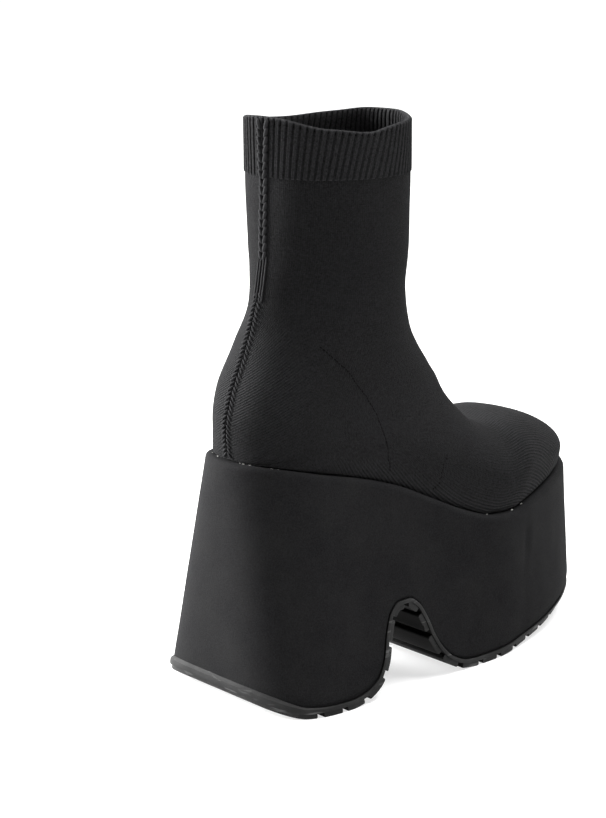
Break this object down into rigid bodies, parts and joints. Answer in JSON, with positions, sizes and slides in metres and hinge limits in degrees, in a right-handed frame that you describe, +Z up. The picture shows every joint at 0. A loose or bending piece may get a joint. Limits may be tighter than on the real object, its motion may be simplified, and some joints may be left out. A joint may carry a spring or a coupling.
{
  "type": "platform sock boot",
  "caption": "Knitted ankle boot with a ribbed cuff on a cloth-wrapped platform with a flared block heel, an arch notch and a grooved rubber sole.",
  "frame": {"origin": "middle of the boot's bounding box, on the floor", "axes": "+X from the heel to the toe, +Y to the inner side of the foot, +Z up"},
  "size_m": [0.2722, 0.1178, 0.306],
  "materials": {
    "knit": "matte fine knit, ribbed at the cuff",
    "lining": "matte cloth",
    "wrap": "matte smooth cloth",
    "rubber": "matte, scuffed at the edges"
  },
  "bodies": {
    "root": {"upper": "knit", "insole": "lining", "platform": "wrap", "outsole": "rubber"}
  },
  "joints": []
}
